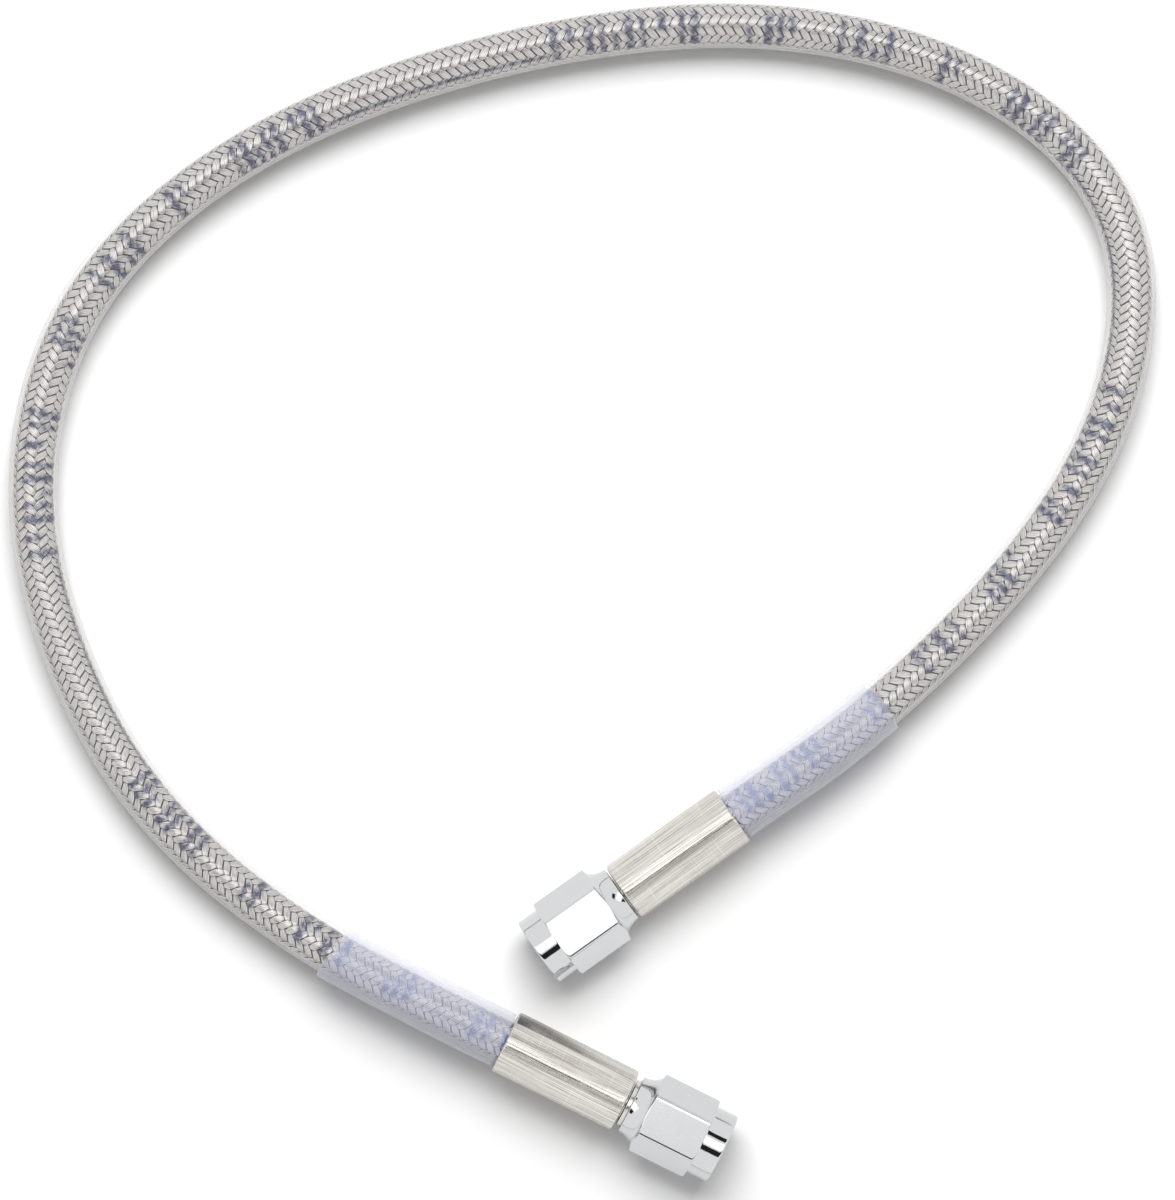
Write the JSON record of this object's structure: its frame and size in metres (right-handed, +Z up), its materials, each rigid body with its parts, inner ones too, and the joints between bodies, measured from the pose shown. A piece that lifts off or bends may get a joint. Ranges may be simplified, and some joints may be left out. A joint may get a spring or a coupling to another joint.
{
  "type": "hydraulic hose assembly",
  "caption": "Flexible brake hose with a braided steel layer under a clear cover, crimped steel collars and chromed swivel nuts at both ends, lying in an open loop.",
  "frame": {"origin": "on the plane that the assembly lies on, below the middle of the box round its metal end fittings", "axes": "+Z up from the plane it lies on; +Y from the fittings towards the far side of the hose's loop; +X to the side that fitting a's hose runs out to"},
  "size_m": [0.1717, 0.1768, 0.0111],
  "materials": {
    "core": "waxy white fluoropolymer",
    "braid": "bright drawn wire",
    "cover": "clear, smooth and glossy",
    "sleeve": "clear with a faint lavender tint",
    "collar": "satin, drawn along the axis",
    "insert": "fine turned",
    "nut": "bright plated"
  },
  "bodies": {
    "hose": {"hose_core": "core", "hose_braid": "braid", "hose_cover": "cover", "end_sleeve_a": "sleeve", "end_sleeve_b": "sleeve", "crimp_collar_a": "collar", "crimp_collar_b": "collar", "insert_a": "insert", "insert_b": "insert"},
    "nut_a": {"swivel_nut_a": "nut"},
    "nut_b": {"swivel_nut_b": "nut"}
  },
  "joints": [
    {"name": "nut_a_turn", "type": "hinge", "parent": "hose", "child": "nut_a", "pos_m": [-0.006, 0.0094, 0.00556], "axis": [-0.8156, -0.5786, 0], "continuous": true},
    {"name": "nut_b_turn", "type": "hinge", "parent": "hose", "child": "nut_b", "pos_m": [0.0084, -0.021, 0.00556], "axis": [0.8945, -0.447, 0], "continuous": true}
  ]
}
